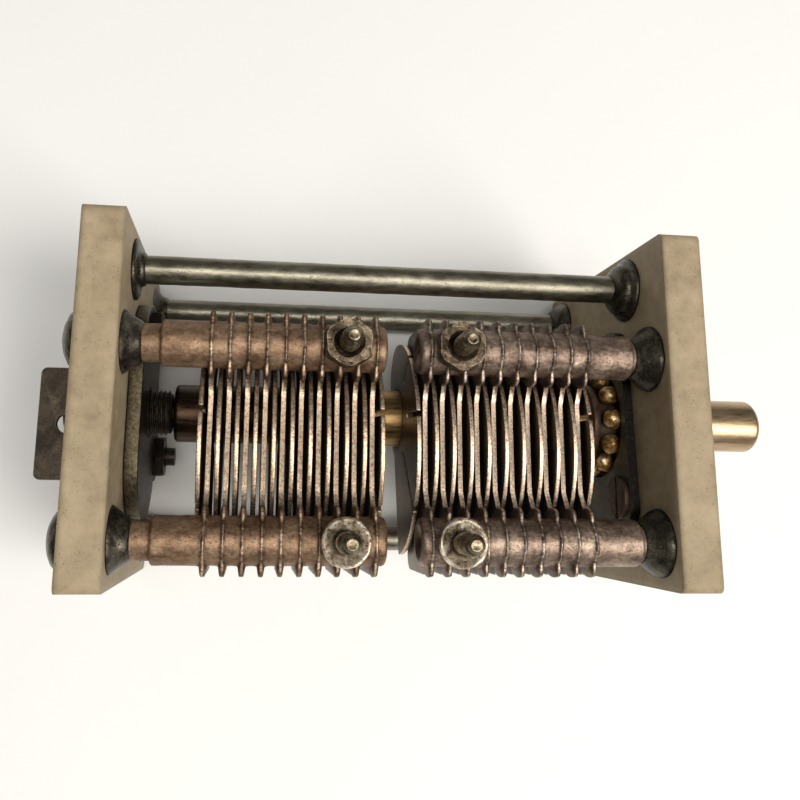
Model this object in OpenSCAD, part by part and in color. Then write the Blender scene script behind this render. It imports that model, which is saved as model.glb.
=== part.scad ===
// Split-stator variable tuning capacitor with two ceramic end plates and one rotor shaft.
// Millimetres. +X runs along the shaft towards the knob end, +Z is up, the object rests on Z = 0.

/* [End plates] */

// Width of each ceramic end plate, across the object
plate_width = 38; // [37:0.5:44]
// Height of each ceramic end plate, from the bench up
plate_height = 33; // [33:0.5:38]
// Thickness of each ceramic end plate
plate_thickness = 4.3; // [4:0.1:6]
// Clear distance between the two end plates
plate_gap = 57; // [57:0.5:62]
// Radius on the corners of the end plates
plate_corner = 0.8; // [0.4:0.1:1.2]
// Position of the shaft axis across the end plates, from their middle
axis_shift = -0.3; // [-0.4:0.1:0]

/* [Tie rods] */

// Diameter of the plain tie rods
tie_diameter = 3.2; // [2.8:0.1:3.4]
// Distance of every tie rod from the middle of the end plates, across the object
tie_side = 14.8; // [14.6:0.1:15.2]
// Height of the upper tie rod above the shaft axis
tie_upper_rise = 7.3; // [6.8:0.1:7.6]
// Drop of the two base tie rods below the shaft axis
tie_base_drop = 12.9; // [12.6:0.1:13.1]

/* [Stator] */

// Diameter of the stator rods
stator_rod_diameter = 4.9; // [4.6:0.1:5]
// Height of the stator rods above the shaft axis
stator_rod_rise = 12; // [11.9:0.1:12.3]
// Position across the object of the far stator rod
stator_rod_far = 6; // [5.8:0.1:6.4]
// Distance between the far and the near stator rod
stator_rod_spacing = 19.9; // [19.7:0.1:20.4]
// Number of stator plates in each section
stator_count = 10; // [10:1:10]
// Thickness of every plate, fixed and moving
blade = 0.5; // [0.5:0.05:0.6]
// Distance from one plate to the next one of the same kind
pitch = 1.9; // [1.85:0.05:1.9]

/* [Rotor] */

// Diameter of the shaft end that takes the knob
shaft_diameter = 6.35; // [6:0.05:6.35]
// Length of shaft beyond the front end plate
shaft_overhang = 14.4; // [10:0.1:25]
// Radius of the round edge of a rotor plate
rotor_radius = 12.4; // [12:0.1:12.4]
// Offset of the round edge from the shaft axis
rotor_offset = 3.5; // [3.3:0.1:3.5]
// Distance from the rear end plate to the first rotor plate
rotor_start = 8.1; // [8:0.1:8.4]
// Distance between the two rotor sections
section_gap = 3.85; // [3.6:0.05:4]
// Width of the tuning slits in the outer rotor plates
slit_width = 0.6; // [0.4:0.1:0.8]

/* [Bearings] */

// Diameter of the bearing balls
ball_diameter = 2.38; // [2.2:0.02:2.4]
// Radius of the circle the balls run on
ball_circle = 5.35; // [5.3:0.05:5.4]
// Number of balls in the front bearing
ball_count = 11; // [8:1:12]
// Diameter of the rear adjusting screw
screw_diameter = 5.3; // [5:0.1:5.5]

/* [Fittings] */

// Diameter of the threaded terminal studs
stud_diameter = 2.2; // [2:0.1:2.3]
// Height of the stud tips above the stator rod centres
stud_reach = 8; // [7:0.1:9]
// Distance from the rear end plate to the rear pair of terminals
terminal_rear = 23; // [22:0.1:23.5]
// Distance from the rear end plate to the front pair of terminals
terminal_front = 34.8; // [34.4:0.1:36]
// Length of the rear lug beyond the rear end plate
lug_reach = 4.8; // [4.6:0.1:7]
// Width of the rear lug
lug_width = 11.9; // [11:0.1:12.4]

/* [Output] */

// Node to build: all, or the name of one node

/* [Hidden] */

round_fn = 96;
small_fn = 48;

// Clearances between touching parts, and how far a cutting shape runs past a face
free_fit = 0.05;
close_fit = 0.02;
cut = 1;

// Overall extents and the shaft axis
axis_height = plate_height / 2;
x_rear_face = -plate_thickness;
x_front_face = plate_gap + plate_thickness;
x_first = x_rear_face - lug_reach;
x_last = x_front_face + shaft_overhang;
x_middle = (x_first + x_last) / 2;

// Tie rod details
tie_radius = tie_diameter / 2;
tie_flare_radius = 3.3;
tie_flare_wall = 0.3;
tie_flare_length = 1.7;
tie_disc_radius = 3.75;
tie_disc_length = 2.1;
disc_shoulder = 0.84;
tie_cap_radius = 3;
tie_cap_height = 1.3;
tie_far = tie_side - axis_shift;
tie_near = -tie_side - axis_shift;
tie_spots = [[tie_far, tie_upper_rise], [tie_far, -tie_base_drop], [tie_near, -tie_base_drop]];

// Stator rod details
rod_radius = stator_rod_diameter / 2;
rod_neck_radius = 2;
rear_neck_length = 3.9;
front_neck_length = 2.8;
rod_flare_radius = 3.4;
rod_flare_top = 2.25;
rod_flare_length = 2;
rod_disc_radius = 3.65;
rod_disc_length = 2.4;
rod_cap_radius = 3.4;
rod_cap_height = 1.8;
rod_chamfer = 0.4;
rod_overrun = 1.1;
stator_rod_near = stator_rod_far - stator_rod_spacing;
rod_spots = [[stator_rod_far, stator_rod_rise], [stator_rod_near, stator_rod_rise]];

// Plate stacks
rear_rotor_x = rotor_start;
front_rotor_x = rotor_start + stator_count * pitch + section_gap;
rear_stator_x = rear_rotor_x + pitch / 2;
front_stator_x = front_rotor_x + pitch / 2;
rear_rod_end = rear_stator_x + (stator_count - 1) * pitch + rod_overrun;
front_rod_end = front_stator_x - rod_overrun;

// Stator plate outline
clip_width = 0.95;
clip_rise = 1.4;
clip_opening = 0.8;
neck_start = 2.8;
neck_end = 5.2;
lobe_radius = rod_radius + clip_width;
stator_top = stator_rod_rise - clip_rise;
stator_base = 1.7;
stator_corner = 1.5;
stator_edge_far = stator_rod_far + lobe_radius;
stator_edge_near = stator_rod_near - lobe_radius;
stator_hub_radius = 5.2;

// Rotor plate outline
rotor_drop = 0.2;
rotor_slope = 0.2545;
rotor_tail = 3;
hub_radius = 4.7;
lobe_back = 4.6;
lobe_far = 4.5;
lobe_round = 4.4;
outline_reach = 20;
slit_angles = [-40, 3, 47];
slit_start = 5.6;

// Shaft and front bearing
shaft_radius = shaft_diameter / 2;
shaft_shoulder = 0.16;
shaft_inner_radius = shaft_radius + shaft_shoulder;
shaft_hole = shaft_inner_radius + 0.4;
journal_reach = 0.3;
shaft_start = 4.55;
shaft_chamfer = 0.7;
shaft_step = x_front_face + journal_reach;
ball_radius = ball_diameter / 2;
ball_setback = 1.5;
ball_x = plate_gap - ball_setback;
cup_radius = ball_circle + ball_radius + free_fit;
cone_radius = ball_circle - ball_radius - free_fit;
bearing_thickness = 1.1;
cup_floor = 0.25;
cup_bore = 4.4;
cone_length = 3.2;
cone_flange_radius = 4.9;
cone_flange = 0.8;
cone_start = ball_x - ball_radius - cone_flange - free_fit;

// Bearing plates
rear_bearing_thickness = 1.6;
bearing_half_length = 12.6;
bearing_half_width = 7.7;
bearing_arm_radius = 3.1;
front_bearing_length = 23;
front_bearing_width = 15;
front_bearing_corner = 2.5;
front_bearing_shift = -1.3;
front_bearing_tilt = -3;
front_screw_spots = [[-9.1, 5.3], [7.4, -5.4]];
rear_screw_spots = [[-4.6, -8.2], [9.1, 2]];
fastener_radius = 1.09;
fastener_hole = 1.15;
fastener_end = x_front_face - 1;
screw_head_radius = 2.4;
screw_head_height = 0.5;
screw_slot = 0.6;
screw_slot_depth = 0.3;
outer_head_height = 1.2;
fastener_nut_radius = 2.65;
fastener_nut_height = 1.2;
fastener_tip = 1.2;

// Adjusting screw, lock nut and rear lug
screw_radius = screw_diameter / 2;
screw_bore = screw_radius + free_fit;
screw_plate_hole = screw_radius + 0.6;
screw_inner_end = 3.75;
screw_tip_end = 4.2;
screw_tip_radius = 2.2;
screw_standout = 3.3;
screw_outer_end = x_rear_face - screw_standout;
screw_driver_slot = 0.9;
screw_driver_depth = 1.1;
lug_thickness = 0.8;
lock_nut_radius = 4.6;
lock_nut_height = 1.8;
lug_shift = -2.1;
lug_top = 7.2;
lug_bottom = -4.6;
lug_hole = 1;
lug_hole_margin = 0.1;
lug_corner = 0.7;
thrust_ball_radius = 1.19;
thrust_ball_x = shaft_start + thrust_ball_radius / 2;
shaft_pocket = 1.5 * thrust_ball_radius + free_fit;

// Terminals
stud_radius = stud_diameter / 2;
stud_thread_depth = 0.2;
stud_root_radius = stud_radius - stud_thread_depth;
stud_tip = 0.5;
nut_radius = 2.75;
nut_turn = 30;
nut_height = 1.7;
washer_radius = 2.55;
washer_height = 1;
stud_depth = 1.2;
nut_base = stator_rod_rise + rod_radius;
far_studs = [[terminal_rear, stator_rod_far], [terminal_front, stator_rod_far]];
near_studs = [[terminal_rear, stator_rod_near], [terminal_front, stator_rod_near]];
all_studs = concat(far_studs, near_studs);

// Colours
ceramic = [0.78, 0.74, 0.62];
nickel = [0.45, 0.44, 0.38];
copper = [0.52, 0.38, 0.30];
silver = [0.50, 0.42, 0.42];
solder = [0.25, 0.25, 0.24];
brass = [0.68, 0.56, 0.36];
steel = [0.33, 0.31, 0.28];
amber = [0.62, 0.46, 0.20];

// Moves from the shaft axis frame, measured from the rear plate's inner face, to the row frame
module on_axis() {
    translate([-x_middle, axis_shift, axis_height]) children();
}

// Extrudes a profile drawn in the Y-Z plane along +X
module along_x(start, length) {
    translate([start, 0, 0]) rotate([90, 0, 90]) linear_extrude(length) children();
}

// A cylinder along +X at a spot of the Y-Z plane
module rod_x(spot, start, length, radius) {
    translate([start, spot[0], spot[1]])
        rotate([0, 90, 0])
            cylinder(h = length, r = radius, $fn = round_fn);
}

// A cone along +X at a spot of the Y-Z plane
module cone_x(spot, start, length, radius_start, radius_end) {
    translate([start, spot[0], spot[1]]) rotate([0, 90, 0])
        cylinder(h = length, r1 = radius_start, r2 = radius_end, $fn = round_fn);
}

// Rectangle with round corners, centred
module round_rectangle(width, height, corner) {
    square([width - 2 * corner, height], center = true);
    square([width, height - 2 * corner], center = true);
    for (side = [-1, 1], level = [-1, 1])
        translate([side * (width / 2 - corner), level * (height / 2 - corner)])
            circle(r = corner, $fn = small_fn);
}

// A low dome with its flat face at the start, bulging along +X
module dome_x(spot, start, radius, height) {
    ball = (radius * radius + height * height) / (2 * height);
    translate([start, spot[0], spot[1]]) rotate([0, 90, 0]) rotate_extrude($fn = round_fn)
        intersection() {
            translate([0, height - ball]) circle(r = ball, $fn = round_fn);
            square([radius, height]);
        }
}

// Ceramic end plate with its holes
module end_plate(start, centre_hole, screw_spots) {
    difference() {
        along_x(start, plate_thickness) translate([-axis_shift, 0])
            round_rectangle(plate_width, plate_height, plate_corner);
        rod_x([0, 0], start - cut, plate_thickness + 2 * cut, centre_hole);
        for (spot = tie_spots)
            rod_x(spot, start - cut, plate_thickness + 2 * cut, tie_radius + free_fit);
        for (spot = rod_spots)
            rod_x(spot, start - cut, plate_thickness + 2 * cut, rod_neck_radius + free_fit);
        for (spot = screw_spots)
            rod_x(spot, start - cut, plate_thickness + 2 * cut, fastener_hole);
    }
}

// Plain tie rod from outer face to outer face
module tie_rod(spot) {
    rod_x(spot, x_rear_face, x_front_face - x_rear_face, tie_radius);
}

// Stator rod of the rear section: neck through the ceramic, then the full rod
module rear_rod(spot) {
    rod_x(spot, x_rear_face, rear_neck_length - x_rear_face, rod_neck_radius);
    rod_x(spot, rear_neck_length, rear_rod_end - rod_chamfer - rear_neck_length, rod_radius);
    cone_x(spot, rear_rod_end - rod_chamfer, rod_chamfer, rod_radius, rod_radius - rod_chamfer);
}

// Stator rod of the front section
module front_rod(spot) {
    shoulder = plate_gap - front_neck_length;
    cone_x(spot, front_rod_end, rod_chamfer, rod_radius - rod_chamfer, rod_radius);
    rod_x(spot, front_rod_end + rod_chamfer, shoulder - front_rod_end - rod_chamfer, rod_radius);
    rod_x(spot, shoulder, x_front_face - shoulder, rod_neck_radius);
}

// Blind holes in a stator rod for the terminal studs
module stud_holes(studs) {
    for (place = studs)
        translate([place[0], place[1], stator_rod_rise - stud_depth])
            cylinder(h = stud_reach, r = stud_root_radius + close_fit, $fn = small_fn);
}

// Cone-shaped collar round a neck at the rear end plate
module rear_flare(spot, foot, top, length, bore) {
    difference() {
        cone_x(spot, 0, length, foot, top);
        rod_x(spot, -cut, length + 2 * cut, bore);
    }
}

// Disc-shaped collar with a round shoulder at the front end plate
module front_disc(spot, foot, top, length, bore) {
    half = length / 2;
    difference() {
        union() {
            cone_x(spot, plate_gap - half, half, foot * disc_shoulder, foot);
            cone_x(spot, plate_gap - length, half, top, foot * disc_shoulder);
        }
        rod_x(spot, plate_gap - length - cut, length + 2 * cut, bore);
    }
}

// Slope from a clip down to the straight upper edge of a fixed plate
module stator_neck(rod, side) {
    polygon([[rod, stator_top - cut], [rod + side * neck_end, stator_top - cut],
        [rod + side * neck_end, stator_top], [rod + side * neck_start, stator_rod_rise],
        [rod, stator_rod_rise]]);
}

// Fixed plate outline, with open clips round the two rods and a notch for the shaft
module stator_outline() {
    body_low = stator_base + stator_corner;
    difference() {
        union() {
            translate([stator_edge_near, body_low])
                square([stator_edge_far - stator_edge_near, stator_top - body_low]);
            translate([stator_edge_near + stator_corner, stator_base])
                square([stator_edge_far - stator_edge_near - 2 * stator_corner, stator_corner + cut]);
            for (edge = [stator_edge_near + stator_corner, stator_edge_far - stator_corner])
                translate([edge, body_low]) circle(r = stator_corner, $fn = small_fn);
            for (spot = rod_spots)
                intersection() {
                    translate(spot) circle(r = lobe_radius, $fn = round_fn);
                    translate([spot[0] - lobe_radius, stator_base])
                        square([2 * lobe_radius, stator_rod_rise + clip_opening - stator_base]);
                }
            stator_neck(stator_rod_far, -1);
            stator_neck(stator_rod_near, 1);
        }
        circle(r = stator_hub_radius, $fn = round_fn);
        for (spot = rod_spots)
            translate(spot) circle(r = rod_radius + close_fit, $fn = round_fn);
    }
}

// Fixed plate centred on its place along the shaft
module stator_plate(place) {
    along_x(place - blade / 2, blade) stator_outline();
}

// Moving plate outline: an eccentric half disc with a round hub and a rounded far lobe
module rotor_outline() {
    intersection() {
        translate([-rotor_offset, -rotor_drop]) circle(r = rotor_radius, $fn = round_fn);
        polygon([[-outline_reach, rotor_slope * outline_reach - rotor_tail], [0, -rotor_tail],
            [0, -lobe_back], [lobe_far, -lobe_back], [lobe_far, -rotor_drop],
            [outline_reach, -rotor_drop], [outline_reach, outline_reach], [-outline_reach, outline_reach]]);
    }
    circle(r = hub_radius, $fn = round_fn);
    translate([lobe_far, -rotor_drop]) circle(r = lobe_round, $fn = round_fn);
}

// Moving plate; the outer plates of a section carry tuning slits
module rotor_plate(place, slit) {
    along_x(place - blade / 2, blade) difference() {
        rotor_outline();
        circle(r = shaft_inner_radius + close_fit, $fn = round_fn);
        if (slit)
            for (turn = slit_angles)
                rotate(turn) translate([-slit_width / 2, slit_start]) square([slit_width, outline_reach]);
    }
}

module rotor_end(place) {
    color(silver) on_axis() rotor_plate(place, true);
}

// Nine inner moving plates of one section
module rotor_inner(first) {
    color(copper) on_axis()
        for (step = [1 : stator_count - 1])
            rotor_plate(first + step * pitch, false);
}

module stator_rear(step) {
    color(copper) on_axis() stator_plate(rear_stator_x + (step - 1) * pitch);
}

module stator_front(step) {
    color(silver) on_axis() stator_plate(front_stator_x + (step - 1) * pitch);
}

module rear_end_plate() {
    color(ceramic) on_axis() end_plate(x_rear_face, screw_plate_hole, rear_screw_spots);
}

module front_end_plate() {
    color(ceramic) on_axis() end_plate(plate_gap, shaft_hole, front_screw_spots);
}

module tie_rod_upper() {
    color(nickel) on_axis() tie_rod(tie_spots[0]);
}

module tie_rod_far() {
    color(nickel) on_axis() tie_rod(tie_spots[1]);
}

module tie_rod_near() {
    color(nickel) on_axis() tie_rod(tie_spots[2]);
}

module tie_rod_flares() {
    bore = tie_radius + close_fit;
    top = bore + tie_flare_wall;
    color(solder) on_axis()
        for (spot = tie_spots) {
            rear_flare(spot, tie_flare_radius, top, tie_flare_length, bore);
            foot = spot[1] > 0 ? tie_disc_radius : tie_flare_radius;
            front_disc(spot, foot, top, tie_disc_length, bore);
        }
}

module tie_rod_caps() {
    color(solder) on_axis()
        for (spot = tie_spots) {
            dome_x(spot, x_front_face, tie_cap_radius, tie_cap_height);
            mirror([1, 0, 0]) dome_x(spot, plate_thickness, tie_cap_radius, tie_cap_height);
        }
}

module stator_rod_rear_far() {
    color(copper) on_axis() difference() {
        rear_rod(rod_spots[0]);
        stud_holes(far_studs);
    }
}

module stator_rod_rear_near() {
    color(copper) on_axis() difference() {
        rear_rod(rod_spots[1]);
        stud_holes(near_studs);
    }
}

module stator_rod_front_far() {
    color(silver) on_axis() difference() {
        front_rod(rod_spots[0]);
        stud_holes(far_studs);
    }
}

module stator_rod_front_near() {
    color(silver) on_axis() difference() {
        front_rod(rod_spots[1]);
        stud_holes(near_studs);
    }
}

module stator_rod_flares() {
    bore = rod_neck_radius + close_fit;
    color(solder) on_axis()
        for (spot = rod_spots) {
            rear_flare(spot, rod_flare_radius, rod_flare_top, rod_flare_length, bore);
            front_disc(spot, rod_disc_radius, rod_flare_top, rod_disc_length, bore);
        }
}

module stator_rod_caps() {
    color(solder) on_axis()
        for (spot = rod_spots) {
            dome_x(spot, x_front_face, rod_cap_radius, rod_cap_height);
            mirror([1, 0, 0]) dome_x(spot, plate_thickness, rod_cap_radius, rod_cap_height);
        }
}

module stator_rear_1() { stator_rear(1); }
module stator_rear_2() { stator_rear(2); }
module stator_rear_3() { stator_rear(3); }
module stator_rear_4() { stator_rear(4); }
module stator_rear_5() { stator_rear(5); }
module stator_rear_6() { stator_rear(6); }
module stator_rear_7() { stator_rear(7); }
module stator_rear_8() { stator_rear(8); }
module stator_rear_9() { stator_rear(9); }
module stator_rear_10() { stator_rear(10); }
module stator_front_1() { stator_front(1); }
module stator_front_2() { stator_front(2); }
module stator_front_3() { stator_front(3); }
module stator_front_4() { stator_front(4); }
module stator_front_5() { stator_front(5); }
module stator_front_6() { stator_front(6); }
module stator_front_7() { stator_front(7); }
module stator_front_8() { stator_front(8); }
module stator_front_9() { stator_front(9); }
module stator_front_10() { stator_front(10); }

// Outline of the rear bearing plate
module bearing_outline(spots) {
    half_straight = bearing_half_length - bearing_half_width;
    square([2 * half_straight, 2 * bearing_half_width], center = true);
    for (side = [-1, 1])
        translate([side * half_straight, 0]) circle(r = bearing_half_width, $fn = round_fn);
    for (spot = spots)
        translate(spot) circle(r = bearing_arm_radius, $fn = small_fn);
}

module rear_bearing_plate() {
    color(steel) on_axis() along_x(0, rear_bearing_thickness) difference() {
        bearing_outline(rear_screw_spots);
        circle(r = screw_bore, $fn = round_fn);
        for (spot = rear_screw_spots)
            translate(spot) circle(r = fastener_hole, $fn = small_fn);
    }
}

// Screws from outside the rear plate, with plain round heads
module rear_bearing_screws() {
    tip = rear_bearing_thickness + fastener_nut_height + fastener_tip;
    color(steel) on_axis()
        for (spot = rear_screw_spots) {
            rod_x(spot, x_rear_face, tip - x_rear_face, fastener_radius);
            mirror([1, 0, 0]) dome_x(spot, plate_thickness, screw_head_radius, outer_head_height);
        }
}

module rear_bearing_nuts() {
    color(steel) on_axis()
        for (spot = rear_screw_spots)
            difference() {
                translate([rear_bearing_thickness, spot[0], spot[1]]) rotate([0, 90, 0])
                    cylinder(h = fastener_nut_height, r = fastener_nut_radius, $fn = 6);
                rod_x(spot, rear_bearing_thickness - cut, fastener_nut_height + 2 * cut,
                    fastener_radius + close_fit);
            }
}

// Threaded screw that carries the rear end of the shaft on one ball
module adjusting_screw() {
    color(steel) on_axis() difference() {
        union() {
            rod_x([0, 0], screw_outer_end, screw_inner_end - screw_outer_end, screw_radius);
            cone_x([0, 0], screw_inner_end, screw_tip_end - screw_inner_end, screw_radius,
                screw_tip_radius);
        }
        translate([thrust_ball_x, 0, 0])
            sphere(r = thrust_ball_radius + free_fit, $fn = small_fn);
        translate([screw_outer_end - cut, -screw_radius - cut, -screw_driver_slot / 2])
            cube([screw_driver_depth + cut, 2 * (screw_radius + cut), screw_driver_slot]);
    }
}

module adjusting_lock_nut() {
    start = x_rear_face - lug_thickness - lock_nut_height;
    color(brass) on_axis() difference() {
        translate([start, 0, 0]) rotate([0, 90, 0])
            cylinder(h = lock_nut_height, r = lock_nut_radius, $fn = 6);
        rod_x([0, 0], start - cut, lock_nut_height + 2 * cut, screw_bore);
    }
}

// Bent lug clamped behind the lock nut, its free leg standing out to the rear
module rear_lug() {
    leg_reach = lug_reach - lug_corner;
    color(steel) on_axis() difference() {
        union() {
            translate([x_rear_face - lug_thickness, lug_shift - lug_width / 2, lug_bottom])
                cube([lug_thickness, lug_width, lug_top - lug_bottom]);
            translate([x_rear_face - leg_reach, lug_shift - lug_width / 2, lug_top - lug_thickness])
                cube([leg_reach, lug_width, lug_thickness]);
            translate([x_first, lug_shift - lug_width / 2 + lug_corner, lug_top - lug_thickness])
                cube([lug_corner + cut, lug_width - 2 * lug_corner, lug_thickness]);
            for (side = [-1, 1])
                translate([x_first + lug_corner, lug_shift + side * (lug_width / 2 - lug_corner),
                    lug_top - lug_thickness])
                    cylinder(h = lug_thickness, r = lug_corner, $fn = small_fn);
        }
        rod_x([0, 0], x_rear_face - lug_thickness - cut, lug_thickness + 2 * cut, screw_bore);
        translate([x_rear_face - lug_thickness - lug_hole - lug_hole_margin, lug_shift,
            lug_top - lug_thickness - cut])
            cylinder(h = lug_thickness + 2 * cut, r = lug_hole, $fn = small_fn);
    }
}

// Front bearing plate: a cup for the balls, open towards the rotor
module front_bearing_plate() {
    start = plate_gap - bearing_thickness;
    color(brass) on_axis() difference() {
        along_x(start, bearing_thickness)
            rotate(front_bearing_tilt)
                translate([front_bearing_shift, 0])
                    round_rectangle(front_bearing_length, front_bearing_width, front_bearing_corner);
        rod_x([0, 0], start - cut, bearing_thickness + cut - cup_floor, cup_radius);
        rod_x([0, 0], start - cut, bearing_thickness + 2 * cut, cup_bore);
        for (spot = front_screw_spots)
            rod_x(spot, start - cut, bearing_thickness + 2 * cut, fastener_hole);
    }
}

module front_bearing_screws() {
    start = plate_gap - bearing_thickness - screw_head_height;
    color(steel) on_axis()
        for (spot = front_screw_spots)
            difference() {
                union() {
                    rod_x(spot, start, screw_head_height, screw_head_radius);
                    rod_x(spot, start, fastener_end - start, fastener_radius);
                }
                translate([start - cut, spot[0] - screw_head_radius - cut, spot[1] - screw_slot / 2])
                    cube([screw_slot_depth + cut, 2 * (screw_head_radius + cut), screw_slot]);
            }
}

// Threaded studs standing on the stator rods
module terminal_studs() {
    free_start = nut_base + washer_height;
    color(brass) on_axis()
        for (place = all_studs) {
            high = place[1] > 0 ? nut_base + nut_height : free_start;
            tip = stator_rod_rise + stud_reach - stud_tip;
            translate([place[0], place[1], stator_rod_rise - stud_depth])
                cylinder(h = high + stud_depth - stator_rod_rise, r = stud_root_radius, $fn = small_fn);
            translate([place[0], place[1], high])
                cylinder(h = tip - high, r = stud_radius, $fn = small_fn);
            translate([place[0], place[1], tip])
                cylinder(h = stud_tip, r1 = stud_radius, r2 = stud_radius - stud_tip, $fn = small_fn);
        }
}

module terminal_nuts() {
    color(steel) on_axis()
        for (place = far_studs)
            translate([place[0], place[1], nut_base]) difference() {
                rotate(nut_turn) cylinder(h = nut_height, r = nut_radius, $fn = 6);
                translate([0, 0, -cut])
                    cylinder(h = nut_height + 2 * cut, r = stud_root_radius + close_fit, $fn = small_fn);
            }
}

module terminal_washers() {
    color(steel) on_axis()
        for (place = near_studs)
            translate([place[0], place[1], nut_base]) difference() {
                cylinder(h = washer_height, r = washer_radius, $fn = small_fn);
                translate([0, 0, -cut])
                    cylinder(h = washer_height + 2 * cut, r = stud_root_radius + close_fit, $fn = small_fn);
            }
}

// Rotor shaft with a ball pocket in its rear end
module shaft() {
    color(brass) on_axis() difference() {
        union() {
            cone_x([0, 0], shaft_start, shaft_chamfer, shaft_inner_radius - shaft_chamfer,
                shaft_inner_radius);
            rod_x([0, 0], shaft_start + shaft_chamfer, shaft_step - shaft_start - shaft_chamfer,
                shaft_inner_radius);
            rod_x([0, 0], shaft_step, x_last - shaft_chamfer - shaft_step, shaft_radius);
            cone_x([0, 0], x_last - shaft_chamfer, shaft_chamfer, shaft_radius,
                shaft_radius - shaft_chamfer);
        }
        rod_x([0, 0], shaft_start - cut, shaft_pocket + cut, thrust_ball_radius + free_fit);
    }
}

// Inner race of the front bearing, a flanged collar on the shaft
module bearing_cone() {
    color(amber) on_axis() difference() {
        union() {
            rod_x([0, 0], cone_start, cone_length, cone_radius);
            rod_x([0, 0], cone_start, cone_flange, cone_flange_radius);
        }
        rod_x([0, 0], cone_start - cut, cone_length + 2 * cut, shaft_inner_radius + close_fit);
    }
}

module thrust_ball() {
    color(steel) on_axis() translate([thrust_ball_x, 0, 0])
        sphere(r = thrust_ball_radius, $fn = small_fn);
}

module rotor_end_plate_1() { rotor_end(rear_rotor_x); }
module rotor_end_plate_2() { rotor_end(rear_rotor_x + stator_count * pitch); }
module rotor_end_plate_3() { rotor_end(front_rotor_x); }
module rotor_end_plate_4() { rotor_end(front_rotor_x + stator_count * pitch); }
module rotor_plates_rear() { rotor_inner(rear_rotor_x); }
module rotor_plates_front() { rotor_inner(front_rotor_x); }

// Ring of loose balls in the front bearing
module bearing_balls() {
    color(amber) on_axis()
        for (step = [0 : ball_count - 1])
            rotate([step * 360 / ball_count, 0, 0]) translate([ball_x, 0, ball_circle])
                sphere(r = ball_radius, $fn = small_fn);
}

rear_end_plate();
front_end_plate();
tie_rod_upper();
tie_rod_far();
tie_rod_near();
tie_rod_flares();
tie_rod_caps();
stator_rod_rear_far();
stator_rod_rear_near();
stator_rod_front_far();
stator_rod_front_near();
stator_rod_flares();
stator_rod_caps();
stator_rear_1();
stator_rear_2();
stator_rear_3();
stator_rear_4();
stator_rear_5();
stator_rear_6();
stator_rear_7();
stator_rear_8();
stator_rear_9();
stator_rear_10();
stator_front_1();
stator_front_2();
stator_front_3();
stator_front_4();
stator_front_5();
stator_front_6();
stator_front_7();
stator_front_8();
stator_front_9();
stator_front_10();
rear_bearing_plate();
rear_bearing_screws();
rear_bearing_nuts();
adjusting_screw();
adjusting_lock_nut();
rear_lug();
front_bearing_plate();
front_bearing_screws();
terminal_studs();
terminal_nuts();
terminal_washers();
shaft();
bearing_cone();
thrust_ball();
rotor_end_plate_1();
rotor_end_plate_2();
rotor_end_plate_3();
rotor_end_plate_4();
rotor_plates_rear();
rotor_plates_front();
bearing_balls();
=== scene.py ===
"""Looks of the split-stator tuning capacitor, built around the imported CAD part.

Pieces are worked out in millimetres and turned into metres when their mesh is made. The floor,
the lamps and the camera are placed in metres.
"""

import math

import bpy
import numpy as np
from mathutils import Euler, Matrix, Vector


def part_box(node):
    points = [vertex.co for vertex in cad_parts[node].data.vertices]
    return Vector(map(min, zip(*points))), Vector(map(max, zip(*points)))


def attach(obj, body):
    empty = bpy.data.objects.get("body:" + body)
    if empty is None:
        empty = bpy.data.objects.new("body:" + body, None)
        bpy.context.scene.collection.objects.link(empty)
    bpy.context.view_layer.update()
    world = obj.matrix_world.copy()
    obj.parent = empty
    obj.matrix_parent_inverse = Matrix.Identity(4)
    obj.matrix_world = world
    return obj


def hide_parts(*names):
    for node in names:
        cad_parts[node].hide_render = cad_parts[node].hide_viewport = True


MM = 0.001
TURN = 2 * math.pi

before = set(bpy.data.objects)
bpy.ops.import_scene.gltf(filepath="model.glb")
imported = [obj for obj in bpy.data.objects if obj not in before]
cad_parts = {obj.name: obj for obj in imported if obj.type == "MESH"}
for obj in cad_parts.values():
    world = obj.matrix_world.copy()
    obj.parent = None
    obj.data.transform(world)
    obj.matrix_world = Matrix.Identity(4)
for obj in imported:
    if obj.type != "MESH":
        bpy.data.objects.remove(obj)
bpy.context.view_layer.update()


# ---------------------------------------------------------------- places from the CAD

def low(node):
    return Vector(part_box(node)[0]) / MM


def high(node):
    return Vector(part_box(node)[1]) / MM


def middle(node):
    return (low(node) + high(node)) / 2


REAR_FACE, REAR_OUTSIDE = high("rear_end_plate").x, low("rear_end_plate").x
FRONT_FACE, FRONT_OUTSIDE = low("front_end_plate").x, high("front_end_plate").x
SHAFT_Y, SHAFT_Z = middle("shaft").y, middle("shaft").z
ON_SHAFT = (0, SHAFT_Y, SHAFT_Z)
TIE_NODES = ["tie_rod_upper", "tie_rod_far", "tie_rod_near"]
ROD_NODES = {
    "rear": ["stator_rod_rear_far", "stator_rod_rear_near"],
    "front": ["stator_rod_front_far", "stator_rod_front_near"],
}
PLATE_COUNT = 10
PLATE_PITCH = middle("stator_rear_2").x - middle("stator_rear_1").x
# The shaft is dark up to just short of the gap between the two sections
GAP_START = high("stator_rod_rear_far").x - 1


# ---------------------------------------------------------------- mesh helpers

def field(points, size, seed, waves=16):
    """Smooth random values, about -1 to 1, with features of the given size in mm."""
    rng = np.random.default_rng(seed)
    way = rng.normal(size=(waves, 3))
    way /= np.linalg.norm(way, axis=1)[:, None]
    way *= (TURN / size * rng.uniform(0.6, 1.5, waves))[:, None]
    phase = rng.uniform(0, TURN, waves)
    return np.sin(points @ way.T + phase).sum(-1) / math.sqrt(waves)


def number(grid, start):
    """The points of a grid numbered on from start, in the grid's rows and columns."""
    rows, columns = grid.shape[:2]
    return start + np.arange(rows * columns).reshape(rows, columns)


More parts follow.
